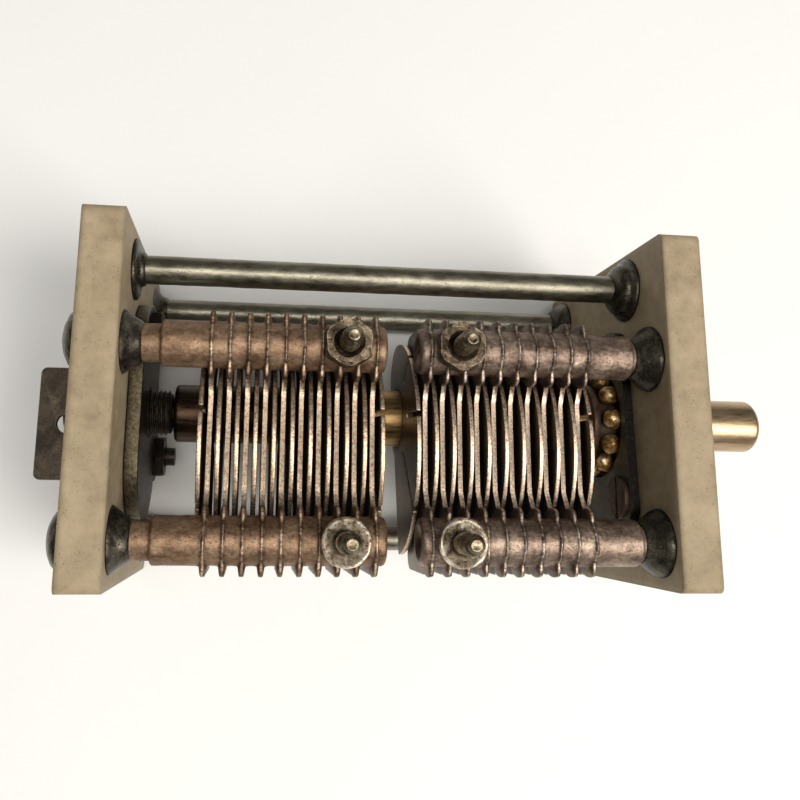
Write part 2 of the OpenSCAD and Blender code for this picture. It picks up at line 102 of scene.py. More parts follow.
def make_piece(name, grids, faces):
    """A smooth-shaded object from grids of points in mm and faces over their joined numbering."""
    points = np.concatenate([grid.reshape(-1, 3) for grid in grids]) * MM
    mesh = bpy.data.meshes.new(name)
    mesh.from_pydata(points.tolist(), [], faces)
    mesh.validate()
    mesh.shade_smooth()
    piece = bpy.data.objects.new(name, mesh)
    bpy.context.collection.objects.link(piece)
    return piece


def crease(piece, angle):
    """Keeps edges sharper than the angle in degrees crisp on a smooth-shaded piece."""
    piece.data.set_sharp_from_angle(angle=math.radians(angle))


def skin(name, grids):
    """One mesh from grids that are closed round and get a cap at both ends, such as rods."""
    faces, start = [], 0
    for grid in grids:
        index = number(grid, start)
        after = np.roll(index, -1, axis=1)
        quads = np.stack([index[:-1], after[:-1], after[1:], index[1:]], axis=-1).reshape(-1, 4)
        faces += quads.tolist() + [index[0][::-1].tolist(), index[-1].tolist()]
        start += index.size
    return make_piece(name, grids, faces)


def ring(name, grids):
    """One mesh from grids whose last row repeats the first, closed both ways, such as nuts."""
    grids = [grid[:-1] for grid in grids]
    faces, start = [], 0
    for grid in grids:
        index = number(grid, start)
        below, after = np.roll(index, -1, axis=0), np.roll(index, -1, axis=1)
        quads = np.stack([index, after, np.roll(below, -1, axis=1), below], axis=-1).reshape(-1, 4)
        faces += quads.tolist()
        start += index.size
    piece = make_piece(name, grids, faces)
    crease(piece, 30)
    return piece


ON_AXIS = 0.01
AXES = {
    "x": (Vector((1, 0, 0)), Vector((0, 1, 0)), Vector((0, 0, 1))),
    "z": (Vector((0, 0, 1)), Vector((1, 0, 0)), Vector((0, 1, 0))),
}


def revolve(centre, axis, profile, segments, extra=None, shape=None):
    """A grid of points round an axis, from profile rows of (distance along, radius).

    shape(distance, turn, radius) gives the radius to use instead of the profile's own, and
    extra(points, distance, turn) gives what is then added to it.
    """
    along, side, up = (np.array(v) for v in AXES[axis])
    profile = np.array(profile, float)
    angle = np.linspace(0, TURN, segments, endpoint=False)
    distance = np.repeat(profile[:, :1], segments, axis=1)
    radius = np.repeat(profile[:, 1:], segments, axis=1)
    turn = np.repeat(angle[None, :], len(profile), axis=0)
    if shape is not None:
        radius = shape(distance, turn, radius)

    def place(r):
        round_way = np.cos(turn)[..., None] * side + np.sin(turn)[..., None] * up
        return np.array(centre) + distance[..., None] * along + r[..., None] * round_way

    if extra is not None:
        radius = radius + extra(place(radius), distance, turn)
    return place(radius)


def uneven(amount, size, seed, stretch=(1, 1, 1)):
    """For revolve: takes up to about twice the amount in mm off the radius, in smooth random waves."""
    def extra(at, along, turn):
        return amount * field(at * stretch, size, seed) - amount
    return extra


def fine(profile, step):
    """The profile with points added so that none are further apart than the step."""
    out = [profile[0]]
    for (a, ra), (b, rb) in zip(profile, profile[1:]):
        count = max(1, math.ceil(math.hypot(b - a, rb - ra) / step))
        out += [(a + (b - a) * i / count, ra + (rb - ra) * i / count) for i in range(1, count + 1)]
    return out


def rounded(profile, bevel):
    """The profile with each inner corner cut twice, so that edges look softly worn."""
    out = [profile[0]]
    for before, here, after in zip(profile, profile[1:], profile[2:]):
        here, before, after = np.array(here), np.array(before), np.array(after)
        one, two = before - here, after - here
        size_one, size_two = np.linalg.norm(one), np.linalg.norm(two)
        cut = min(bevel, size_one * 0.45, size_two * 0.45)
        a, b = here + one / size_one * cut, here + two / size_two * cut
        out += [tuple(a), tuple((a + b) / 4 + here / 2), tuple(b)]
    return out + [profile[-1]]


def close_ends(profile):
    """The profile with both ends drawn in to the axis."""
    return [(profile[0][0], ON_AXIS)] + profile + [(profile[-1][0], ON_AXIS)]


# ---------------------------------------------------------------- material helpers

class Paint:
    """Builds one procedural material with short calls."""

    def __init__(self, name):
        self.material = bpy.data.materials.new(name)
        self.material.use_nodes = True
        self.tree = self.material.node_tree
        self.tree.nodes.clear()
        self.output = self.add("ShaderNodeOutputMaterial")
        self.shader = self.add("ShaderNodeBsdfPrincipled")
        self.put(self.output, "Surface", self.shader.outputs[0])
        self.place = self.add("ShaderNodeTexCoord").outputs["Object"]
        self.shape = self.add("ShaderNodeNewGeometry")

    def add(self, kind, **settings):
        node = self.tree.nodes.new(kind)
        for key, value in settings.items():
            setattr(node, key, value)
        return node

    def feed(self, socket, value):
        """Links a node's output to a socket, or sets a fixed number, vector or (r, g, b) colour on it."""
        if isinstance(value, bpy.types.NodeSocket):
            self.tree.links.new(value, socket)
        else:
            socket.default_value = (*value, 1) if socket.type == "RGBA" else value

    def put(self, node, key, value):
        self.feed(node.inputs[key], value)

    def moved(self, place, scale=(1, 1, 1)):
        """The object's own coordinates, moved and scaled."""
        node = self.add("ShaderNodeMapping")
        self.put(node, "Vector", self.place)
        self.put(node, "Location", place)
        self.put(node, "Scale", scale)
        return node.outputs[0]

    def spots(self, size_mm, detail=4, rough=0.6, stretch=(1, 1, 1), warp=0.0, seed=0.0):
        """Noise from 0 to 1 with features of a size, drawn out along an axis by stretch."""
        node = self.add("ShaderNodeTexNoise")
        self.put(node, "Vector", self.moved((seed, seed * 0.7, -seed), [1 / s for s in stretch]))
        self.put(node, "Scale", 1 / (size_mm * MM))
        self.put(node, "Detail", detail)
        self.put(node, "Roughness", rough)
        self.put(node, "Distortion", warp)
        return node.outputs["Fac"]

    def ramp(self, value, low_end, high_end, out_low=0.0, out_high=1.0):
        """A smooth step from out_low to out_high while the value goes from low_end to high_end."""
        node = self.add("ShaderNodeMapRange", interpolation_type="SMOOTHSTEP")
        self.put(node, "Value", value)
        self.put(node, "From Min", low_end)
        self.put(node, "From Max", high_end)
        self.put(node, "To Min", out_low)
        self.put(node, "To Max", out_high)
        return node.outputs[0]

    def math(self, operation, *values):
        node = self.add("ShaderNodeMath", operation=operation)
        for index, value in enumerate(values):
            self.put(node, index, value)
        return node.outputs[0]

    def times(self, a, b):
        return self.math("MULTIPLY", a, b)

    def blend(self, a, b, share_a, share_b):
        """A sum of two values, each times its share."""
        return self.math("ADD", self.times(a, share_a), self.times(b, share_b))

    def tones(self, value, stops):
        """A colour for each value, from [(position, (r, g, b))]."""
        node = self.add("ShaderNodeValToRGB")
        self.put(node, "Fac", value)
        band = node.color_ramp
        while len(band.elements) < len(stops):
            band.elements.new(0.5)
        for element, (position, colour) in zip(band.elements, stops):
            element.position = position
            element.color = (*colour, 1)
        return node.outputs["Color"]

    def mix(self, share, a, b):
        """Colour a, going over to colour b as the share goes from 0 to 1."""
        node = self.add("ShaderNodeMix", data_type="RGBA")
        self.put(node, "Factor", share)
        for socket, value in zip([s for s in node.inputs if s.type == "RGBA"], (a, b)):
            self.feed(socket, value)
        return [s for s in node.outputs if s.type == "RGBA"][0]

    def coordinate(self, vector, axis):
        node = self.add("ShaderNodeSeparateXYZ")
        self.put(node, 0, vector)
        return node.outputs[axis]

    def edges(self, radius_mm):
        """Near 1 at outer and inner corners, 0 on flat stretches."""
        bevel = self.add("ShaderNodeBevel", samples=4)
        self.put(bevel, "Radius", radius_mm * MM)
        dot = self.add("ShaderNodeVectorMath", operation="DOT_PRODUCT")
        self.put(dot, 0, bevel.outputs[0])
        self.put(dot, 1, self.shape.outputs["Normal"])
        return self.ramp(self.math("SUBTRACT", 1.0, dot.outputs["Value"]), 0.02, 0.25)

    def hollow(self, reach_mm, first=0.35, full=0.95):
        """Near 1 in corners and gaps, where shade falls; used to paint shade into a colour."""
        node = self.add("ShaderNodeAmbientOcclusion", samples=6, only_local=False)
        self.put(node, "Distance", reach_mm * MM)
        return self.ramp(node.outputs["AO"], first, full, 1.0, 0.0)

    def facing_x(self):
        """1 on surfaces that face along the shaft, 0 on rims."""
        facing = self.coordinate(self.shape.outputs["True Normal"], "X")
        return self.ramp(self.math("ABSOLUTE", facing), 0.6, 0.9)

    def bump(self, height, depth_mm, strength, normal=None):
        node = self.add("ShaderNodeBump")
        self.put(node, "Height", height)
        self.put(node, "Distance", depth_mm * MM)
        self.put(node, "Strength", strength)
        if normal is not None:
            self.put(node, "Normal", normal)
        return node.outputs[0]

    def finish(self, colour, rough, normal, metallic, **fixed):
        """Feeds the shader; fixed holds any other of its sockets, with _ for the spaces in a name."""
        self.put(self.shader, "Base Color", colour)
        self.put(self.shader, "Roughness", rough)
        self.put(self.shader, "Normal", normal)
        self.put(self.shader, "Metallic", metallic)
        for key, value in fixed.items():
            self.put(self.shader, key.replace("_", " "), value)
        return self.material


def plate_lines(p, colour, first_plate, patch, grain, pit_and_shade_colour, ridge_highlight_colour):
    """On a stator rod: a painted highlight along every plate's solder ridge, with painted shade at both sides
    of it.
    """
    steps = p.math("SUBTRACT", p.coordinate(p.place, "X"), first_plate * MM)
    steps = p.math("DIVIDE", steps, PLATE_PITCH * MM)
    steps = p.math("ADD", steps, p.ramp(patch, 0.3, 0.7, -0.012, 0.012))
    last = PLATE_COUNT - 1
    among = p.times(p.ramp(steps, -0.6, -0.4), p.ramp(steps, last + 0.4, last + 0.6, 1.0, 0.0))
    apart = p.math("FRACT", p.math("ADD", steps, 0.5))
    apart = p.math("ABSOLUTE", p.math("SUBTRACT", apart, 0.5))
    # Painted shade in a band at both sides of each plate's solder ridge.
    shade = p.times(p.ramp(apart, 0.10, 0.26, 1.0, 0.0), among)
    colour = p.mix(p.times(shade, p.ramp(grain, 0.3, 0.65, 0.6, 0.2)), colour, pit_and_shade_colour)
    # Painted highlight along the top of each solder ridge, broken up by grain and patches.
    crest = p.times(p.ramp(apart, 0.025, 0.065, 1.0, 0.0), among)
    glint = p.times(p.ramp(grain, 0.40, 0.60, 0.1, 1.0), p.ramp(patch, 0.40, 0.58, 0.25, 1.0))
    return p.mix(p.times(crest, glint), colour, ridge_highlight_colour)


def tarnished(name, tones, rough, grain_mm, patch_mm, pits, pit_and_shade_colour, bump_mm, streak=(1, 1, 1), rim=None,
              worn=None, shade_reach_mm=1.2, shade_share=0.85, metallic=1.0, seed=0, zones=(), plates=None,
              ridge_highlight_colour=None):
    """Old plated metal: tone patches, fine grain and pits, worn edges, painted shade in the corners.

    rim gives the tones of surfaces that don't face along the shaft: painted light and shade that set rims
    apart from faces.
    zones holds the tones of the stretches before given places along it. plates is the place of the first
    plate on a stator rod, where each solder ridge gets a painted highlight and painted shade.
    """
    p = Paint(name)
    patch = p.spots(patch_mm, detail=5, rough=0.65, stretch=streak, warp=0.6, seed=seed)
    grain = p.spots(grain_mm, detail=6, rough=0.7, stretch=streak, seed=seed + 3)
    fleck = p.spots(grain_mm * 0.35, detail=3, rough=0.6, seed=seed + 7)
    colour = p.tones(p.blend(patch, grain, 0.6, 0.4), tones)
    # Painted light and shade: surfaces that don't face along the shaft take the rim tones, set apart from the
    # faces by how light falls on them.
    if rim is not None:
        colour = p.mix(p.facing_x(), p.tones(grain, rim), colour)
    for before, zone_tones in reversed(zones):
        inside = p.ramp(p.coordinate(p.place, "X"), (before - 0.8) * MM, (before + 0.8) * MM, 1.0, 0.0)
        colour = p.mix(inside, colour, p.tones(grain, zone_tones))
    if plates is not None:
        colour = plate_lines(p, colour, plates, patch, grain, pit_and_shade_colour, ridge_highlight_colour)
    pit = p.ramp(fleck, 0.30, 0.42, 1.0, 0.0)
    colour = p.mix(p.times(pit, pits), colour, pit_and_shade_colour)
    if worn is not None:
        edge = p.times(p.edges(0.18), p.ramp(grain, 0.35, 0.6))
        colour = p.mix(p.times(edge, 0.8), colour, worn)
    # Painted shade: in corners and gaps, found by ambient occlusion, the colour goes over to the dark colour
    # given for pits and shade.
    painted_shade_mask = p.times(p.hollow(shade_reach_mm), shade_share)
    painted_shade_mask = p.times(painted_shade_mask, p.ramp(grain, 0.25, 0.6, 1.0, 0.75))
    colour = p.mix(painted_shade_mask, colour, pit_and_shade_colour)
    roughness = p.ramp(p.blend(grain, fleck, 0.7, 0.3), 0.3, 0.7, rough[0], rough[1])
    roughness = p.math("ADD", roughness, p.times(painted_shade_mask, 0.3))
    height = p.math("SUBTRACT", p.blend(grain, fleck, 0.8, 0.3), p.times(pit, 0.5))
    return p.finish(colour, roughness, p.bump(height, bump_mm, 0.8), metallic)


def ceramic(name):
    """Old unglazed ceramic: cream patches, specks, stains, painted shade in the corners, edges that look
    rounded.
    """
    p = Paint(name)
    wide = p.spots(9, detail=4, rough=0.6, warp=0.8)
    mid = p.spots(1.6, detail=6, rough=0.7, seed=2)
    tiny = p.spots(0.22, detail=3, rough=0.6, seed=5)
    colour = p.tones(p.blend(wide, mid, 0.5, 0.5), [
        (0.30, (0.235, 0.175, 0.10)), (0.47, (0.355, 0.275, 0.17)), (0.62, (0.44, 0.35, 0.225))])
    speck = p.times(p.ramp(tiny, 0.30, 0.40, 1.0, 0.0), p.ramp(mid, 0.42, 0.62, 1.0, 0.15))
    colour = p.mix(p.times(speck, 0.75), colour, (0.09, 0.07, 0.045))
    cloud = p.spots(3.2, detail=7, rough=0.75, warp=1.2, seed=9)
    colour = p.mix(p.times(p.ramp(cloud, 0.56, 0.72), 0.35), colour, (0.24, 0.19, 0.12))
    edge = p.times(p.edges(0.5), p.ramp(mid, 0.40, 0.62))
    colour = p.mix(p.times(edge, 0.35), colour, (0.22, 0.18, 0.12))
    # Painted shade: over a wide reach found by ambient occlusion, the colour goes darker in corners and gaps.
    painted_shade_mask = p.times(p.hollow(4.0, 0.25, 0.9), p.ramp(mid, 0.25, 0.6, 0.9, 0.5))
    colour = p.mix(p.times(painted_shade_mask, 0.75), colour, (0.12, 0.095, 0.065))
    scratch = p.ramp(p.spots(0.5, detail=2, stretch=(1, 14, 1), seed=4), 0.68, 0.74)
    height = p.math("SUBTRACT", p.blend(mid, tiny, 0.5, 0.5), p.times(scratch, 0.3))
    softened = p.add("ShaderNodeBevel", samples=8)
    p.put(softened, "Radius", 1.1 * MM)
    normal = p.bump(height, 0.06, 0.8, softened.outputs[0])
    return p.finish(colour, p.ramp(mid, 0.3, 0.7, 0.5, 0.72), normal, 0.0, Specular_IOR_Level=0.4)


NICKEL = tarnished(
    "dull_nickel", [(0.30, (0.085, 0.08, 0.058)), (0.48, (0.21, 0.195, 0.145)), (0.66, (0.38, 0.35, 0.275))],
    rough=(0.26, 0.50), grain_mm=0.5, patch_mm=4, pits=0.6, streak=(2.5, 1, 1), pit_and_shade_colour=(0.03, 0.027, 0.017),
    bump_mm=0.03)
SOLDER = tarnished(
    "old_solder", [(0.30, (0.020, 0.017, 0.012)), (0.50, (0.065, 0.057, 0.043)), (0.70, (0.21, 0.19, 0.145))],
    rough=(0.20, 0.46), grain_mm=0.7, patch_mm=2.2, pits=0.3, bump_mm=0.07, pit_and_shade_colour=(0.012, 0.01, 0.007),
    metallic=0.9)
# The last colour given to each stator rod paints a highlight along every plate's solder ridge.
COPPER_ROD = tarnished(
    "copper_rod", [(0.32, (0.075, 0.040, 0.022)), (0.45, (0.20, 0.122, 0.072)), (0.56, (0.33, 0.215, 0.135)),
                   (0.68, (0.52, 0.38, 0.26))],
    rough=(0.34, 0.66), streak=(1.2, 1, 1), grain_mm=0.36, patch_mm=2.4, pits=0.8, shade_reach_mm=0.6, metallic=0.8,
    pit_and_shade_colour=(0.026, 0.013, 0.007), bump_mm=0.05, seed=1, plates=middle("stator_rear_1").x,
    ridge_highlight_colour=(0.72, 0.56, 0.42))
SILVER_ROD = tarnished(
    "silver_rod", [(0.32, (0.055, 0.034, 0.026)), (0.44, (0.165, 0.113, 0.086)), (0.55, (0.31, 0.228, 0.172)),
                   (0.67, (0.60, 0.48, 0.36))],
    rough=(0.28, 0.60), streak=(1.2, 1, 1), grain_mm=0.36, patch_mm=2.0, pits=0.8, shade_reach_mm=0.6, metallic=0.8,
    pit_and_shade_colour=(0.024, 0.014, 0.010), bump_mm=0.06, seed=2, plates=middle("stator_front_1").x,
    ridge_highlight_colour=(0.74, 0.62, 0.52))
# Painted highlights: bright tones for the plates' rims, against darker faces.
RIM_COPPER_HIGHLIGHT = [(0.32, (0.17, 0.10, 0.06)), (0.46, (0.46, 0.32, 0.21)), (0.62, (0.80, 0.66, 0.50))]
RIM_SILVER_HIGHLIGHT = [(0.32, (0.17, 0.11, 0.075)), (0.46, (0.50, 0.36, 0.26)), (0.62, (0.85, 0.72, 0.56))]
COPPER_PLATE = tarnished(
    "copper_plate", [(0.30, (0.065, 0.043, 0.028)), (0.50, (0.17, 0.12, 0.082)), (0.70, (0.31, 0.23, 0.165))],
    rough=(0.24, 0.52), grain_mm=0.22, patch_mm=3.5, pits=0.5, rim=RIM_COPPER_HIGHLIGHT, shade_reach_mm=1.3,
    pit_and_shade_colour=(0.014, 0.009, 0.006), bump_mm=0.022, seed=3)
SILVER_PLATE = tarnished(
    "silver_plate", [(0.30, (0.07, 0.05, 0.036)), (0.50, (0.18, 0.135, 0.10)), (0.70, (0.32, 0.25, 0.185))],
    rough=(0.24, 0.52), grain_mm=0.22, patch_mm=3.5, pits=0.5, rim=RIM_SILVER_HIGHLIGHT, shade_reach_mm=1.3,
    pit_and_shade_colour=(0.014, 0.009, 0.007), bump_mm=0.022, seed=4)
SHAFT_BRASS = tarnished(
    "shaft_brass", [(0.30, (0.24, 0.155, 0.08)), (0.48, (0.46, 0.335, 0.20)), (0.66, (0.70, 0.56, 0.39))],
    rough=(0.26, 0.46), streak=(7, 1, 1), grain_mm=0.3, patch_mm=3, pits=0.3, worn=(0.85, 0.72, 0.52),
    pit_and_shade_colour=(0.03, 0.018, 0.01), shade_reach_mm=1.2, bump_mm=0.015, seed=5,
    zones=[
        (GAP_START, [(0.3, (0.014, 0.009, 0.006)), (0.55, (0.045, 0.028, 0.017)),
                     (0.75, (0.11, 0.072, 0.042))]),
        (FRONT_FACE, [(0.3, (0.16, 0.095, 0.035)), (0.55, (0.36, 0.235, 0.10)),
                      (0.75, (0.58, 0.42, 0.20))])])
DULL_BRASS = tarnished(
    "dull_brass", [(0.30, (0.035, 0.026, 0.014)), (0.50, (0.095, 0.072, 0.038)), (0.70, (0.24, 0.185, 0.10))],
    rough=(0.28, 0.55), grain_mm=0.4, patch_mm=2.5, pits=0.35, worn=(0.40, 0.32, 0.19),
    pit_and_shade_colour=(0.014, 0.01, 0.006), bump_mm=0.02, seed=6)
AMBER_STEEL = tarnished(
    "greased_steel", [(0.38, (0.045, 0.02, 0.007)), (0.47, (0.22, 0.11, 0.028)), (0.54, (0.50, 0.30, 0.085)),
                      (0.62, (0.90, 0.80, 0.58))],
    rough=(0.14, 0.50), grain_mm=0.9, patch_mm=1.3, pits=0.3, pit_and_shade_colour=(0.035, 0.017, 0.007), shade_reach_mm=1.0,
    shade_share=0.9, bump_mm=0.10, metallic=0.5, seed=7)
BROWN_GREASE = tarnished(
    "brown_grease", [(0.30, (0.04, 0.022, 0.012)), (0.50, (0.10, 0.058, 0.034)), (0.70, (0.22, 0.14, 0.085))],
    rough=(0.30, 0.60), grain_mm=0.6, patch_mm=1.6, pits=0.3, pit_and_shade_colour=(0.03, 0.017, 0.007), shade_reach_mm=0.8,
    shade_share=0.7, bump_mm=0.03, metallic=0.4, seed=12)
# Painted shade: the rear bearing plate's faces along the shaft are darker than its rims.
OLIVE_STEEL = tarnished(
    "olive_steel", [(0.30, (0.016, 0.013, 0.009)), (0.50, (0.04, 0.032, 0.022)),
                    (0.70, (0.10, 0.082, 0.056))],
    rough=(0.30, 0.56), grain_mm=0.3, patch_mm=2.2, pits=0.6, shade_reach_mm=1.0, bump_mm=0.05, metallic=0.9,
    rim=[(0.34, (0.045, 0.036, 0.021)), (0.5, (0.095, 0.077, 0.045)), (0.66, (0.17, 0.14, 0.088))],
    pit_and_shade_colour=(0.01, 0.008, 0.006), seed=13)
# Painted shadow: the front bearing plate's rims are near black.
FRONT_PLATE = tarnished(
    "front_bearing_plate", [(0.30, (0.06, 0.052, 0.038)), (0.50, (0.14, 0.122, 0.092)),
                            (0.70, (0.26, 0.23, 0.175))],
    rough=(0.30, 0.58), grain_mm=0.4, patch_mm=2.4, pits=0.5, shade_reach_mm=0.8, bump_mm=0.03, metallic=0.7,
    rim=[(0.34, (0.008, 0.006, 0.005)), (0.5, (0.018, 0.014, 0.01)), (0.66, (0.045, 0.036, 0.025))],
    pit_and_shade_colour=(0.018, 0.014, 0.01), seed=15)
DARK_STEEL = tarnished(
    "dark_steel", [(0.30, (0.016, 0.012, 0.009)), (0.50, (0.042, 0.032, 0.023)), (0.70, (0.10, 0.08, 0.058))],
    rough=(0.32, 0.58), grain_mm=0.45, patch_mm=2.5, pits=0.3, worn=(0.24, 0.19, 0.125),
    pit_and_shade_colour=(0.01, 0.008, 0.006), bump_mm=0.02, metallic=0.9, seed=8)
NUT_METAL = tarnished(
    "grimy_nut", [(0.34, (0.028, 0.019, 0.012)), (0.48, (0.115, 0.084, 0.055)), (0.60, (0.34, 0.265, 0.18))],
    rough=(0.30, 0.60), grain_mm=0.6, patch_mm=1.5, pits=0.7, worn=(0.58, 0.48, 0.34),
    pit_and_shade_colour=(0.016, 0.011, 0.007), shade_reach_mm=0.5, bump_mm=0.12, seed=9)
STUD_METAL = tarnished(
    "stud_metal", [(0.30, (0.045, 0.036, 0.022)), (0.48, (0.15, 0.12, 0.078)), (0.66, (0.42, 0.35, 0.24))],
    rough=(0.20, 0.46), grain_mm=0.35, patch_mm=1.2, pits=0.5, worn=(0.75, 0.66, 0.50),
    pit_and_shade_colour=(0.014, 0.01, 0.007), shade_reach_mm=0.4, bump_mm=0.03, seed=14)
BRIGHT_SEAT = tarnished(
    "bright_seat", [(0.34, (0.14, 0.095, 0.062)), (0.46, (0.50, 0.40, 0.29)), (0.58, (0.90, 0.81, 0.66))],
    rough=(0.20, 0.46), grain_mm=0.35, patch_mm=1.2, pits=0.55, worn=(0.85, 0.76, 0.62),
    pit_and_shade_colour=(0.03, 0.02, 0.014), shade_reach_mm=0.35, bump_mm=0.05, seed=10)
CERAMIC = ceramic("soiled_ceramic")


# ---------------------------------------------------------------- pieces that stay as CAD nodes

def dress(node, material, soft_mm=0.0, segments=2):
    """A CAD node keeps its shape, with its sharp edges softened, and gets a material."""
    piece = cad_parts[node]
    if not piece.material_slots:
        piece.data.materials.append(material)
    for slot in piece.material_slots:
        slot.material = material
    if not soft_mm:
        return
    weld = piece.modifiers.new("weld", "WELD")
    weld.merge_threshold = 1e-6
    bevel = piece.modifiers.new("soft_edges", "BEVEL")
    bevel.width = soft_mm * MM
    bevel.segments = segments
    bevel.limit_method = "ANGLE"
    bevel.angle_limit = math.radians(40)
    normals = piece.modifiers.new("even_normals", "WEIGHTED_NORMAL")
    normals.weight = 80
    normals.keep_sharp = False


PLATE_EDGE = 0.09
CERAMIC_EDGE = 0.5
for node in ("rear_end_plate", "front_end_plate"):
    dress(node, CERAMIC, CERAMIC_EDGE, 3)
for step in range(1, PLATE_COUNT + 1):
    dress(f"stator_rear_{step}", COPPER_PLATE, PLATE_EDGE)
    dress(f"stator_front_{step}", SILVER_PLATE, PLATE_EDGE)
for node in ("rotor_end_plate_1", "rotor_end_plate_2", "rotor_plates_rear"):
    dress(node, COPPER_PLATE, PLATE_EDGE)
for node in ("rotor_end_plate_3", "rotor_end_plate_4", "rotor_plates_front"):
    dress(node, SILVER_PLATE, PLATE_EDGE)
dress("rear_bearing_plate", OLIVE_STEEL, 0.2)
dress("front_bearing_plate", FRONT_PLATE, 0.12)
dress("rear_lug", DARK_STEEL, 0.22, 3)
dress("front_bearing_screws", BROWN_GREASE, 0.1)
dress("rear_bearing_screws", DARK_STEEL, 0.12)
dress("bearing_cone", BROWN_GREASE, 0.15)
dress("thrust_ball", AMBER_STEEL)


# ---------------------------------------------------------------- pieces built here

def settle(piece, body, material, node):
    """A piece stands for a CAD node: it takes a material and the body to ride on, and the node is hidden."""
    piece.data.materials.append(material)
    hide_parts(node)
    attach(piece, body)


# Plain tie rods, faintly uneven from end to end
for order, node in enumerate(TIE_NODES):
    centre, radius = middle(node), (high(node).z - low(node).z) / 2
    length = high(node).x - low(node).x
    profile = fine(close_ends([(0, radius), (length, radius)]), 0.5)
    rod = skin(f"visual_{node}", [
        revolve((low(node).x, centre.y, centre.z), "x", profile, 64, uneven(0.012, 2.5, order))])
    crease(rod, 38)
    settle(rod, "frame", NICKEL, node)

# Stator rods with uneven solder where every plate meets them. A neck's size is its length.
ROD_RADIUS = 2.45
NECK_RADIUS = 2.0
REAR_NECK = 3.9
FRONT_NECK = 2.8
ROD_CHAMFER = 0.4
ROD_DISH = 0.45
RIDGE_HEIGHT = 0.19
RIDGE_WIDTH = 0.13
CLAW_HEIGHT = 1.08
CLAW_WIDTH = 0.35
CLAW_LOW, CLAW_HIGH = 0.32, 0.68
FOOT_HEIGHT = 0.22
FOOT_START = 0.25
FOOT_REACH = 0.16


def rim_waves(at, size, seed):
    """Smooth random values that change round a rod more than along it."""
    return field(at * (0.2, 1, 1), size, seed)


def soldered(plates, seed):
    """Extra radius of a rod: a thin ridge over its top at each plate, growing into a claw at its sides."""
    def extra(at, along, turn):
        total = 0.014 * field(at, 1.5, seed) + 0.008 * field(at, 0.6, seed + 1)
        rise = np.sin(turn)
        for index, place in enumerate(plates):
            tip = CLAW_HIGH + 0.03 * rim_waves(at, 2.5, seed + 50 + index)
            claw = np.clip((tip - rise) / (CLAW_HIGH - CLAW_LOW), 0, 1)
            claw = claw * claw * (3 - 2 * claw)
            wander = 0.03 * (1 - claw) * rim_waves(at, 2.2, seed + 80 + index)
            off = at[..., 0] - place + wander
            patchy = np.clip(0.75 + 0.5 * rim_waves(at, 1.4, seed + 20 + index), 0.2, 1.25)
            ridge = RIDGE_HEIGHT * patchy * np.exp(-(off / RIDGE_WIDTH) ** 2)
            width = CLAW_WIDTH * (0.45 + 0.55 * claw)
            grip = CLAW_HEIGHT * claw * np.exp(-(off / width) ** 6)
            past = np.maximum(0, np.abs(off) - FOOT_START)
            foot = FOOT_HEIGHT * claw * patchy * np.exp(-past / FOOT_REACH)
            total = total + np.maximum(np.maximum(ridge, grip), foot)
        return total
    return extra


def stations(start, end, plates):
    """Places along a rod, close together where the plates are."""
    near = (0, 0.06, 0.12, 0.18, 0.23, 0.27, 0.31, 0.35, 0.39, 0.44, 0.5, 0.6)
    places = [place + side * step for place in plates for step in near for side in (-1, 1)]
    places = np.concatenate([np.arange(start, end, 0.14), places, [end]])
    places = np.unique(np.round(places[(places > start + 0.03) & (places < end - 0.03)], 2))
    return [start, *places.tolist(), end]


def stator_rod(node, section, seed):
    """A grid of points: a neck into the end plate, a shoulder, the soldered stretch and a dished end."""
    start, end = low(node).x, high(node).x
    plates = [middle(f"stator_{section}_{step}").x for step in range(1, PLATE_COUNT + 1)]
    if section == "rear":
        neck, shoulder, tip = start, REAR_FACE + REAR_NECK, end
    else:
        neck, shoulder, tip = end, FRONT_FACE - FRONT_NECK, start
    inward = math.copysign(1, neck - tip)
    shank = [(shoulder, NECK_RADIUS), (shoulder, ROD_RADIUS - 0.2),
             (shoulder - inward * 0.08, ROD_RADIUS - 0.08)]
    outer = [(tip + inward * step, radius) for step, radius in (
        (ROD_CHAMFER, ROD_RADIUS), (0.12, ROD_RADIUS - 0.1), (0, ROD_RADIUS - 0.32),
        (0.02, ROD_RADIUS - 0.75), (0.15, ROD_RADIUS - 1.0), (0.25, ROD_RADIUS - 1.5),
        (ROD_DISH, ROD_RADIUS - 1.8), (ROD_DISH, ON_AXIS))]
    span = sorted((shoulder - inward * 0.08, tip + inward * ROD_CHAMFER))
    stretch = [(x, ROD_RADIUS) for x in stations(*span, plates)]
    if inward > 0:
        stretch.reverse()
    profile = [(neck, ON_AXIS), (neck, NECK_RADIUS)] + shank + stretch[1:-1] + outer
    if inward > 0:
        profile.reverse()
    centre = middle(node)
    solder = soldered(plates, seed)

    def extra(at, along, turn):
        radial = np.hypot(at[..., 1] - centre.y, at[..., 2] - centre.z)
        return np.where(radial > ROD_RADIUS - 0.04, solder(at, along, turn), 0.0)

    return revolve((0, centre.y, centre.z), "x", profile, 96, extra)


for section, nodes in ROD_NODES.items():
    for order, node in enumerate(nodes):
        rod = skin(f"visual_{node}", [stator_rod(node, section, 100 * (order + 1) + len(section))])
        crease(rod, 75)
        material, slot = (COPPER_ROD, "rod_copper") if section == "rear" else (SILVER_ROD, "rod_silver")
        settle(rod, "frame", material, node)


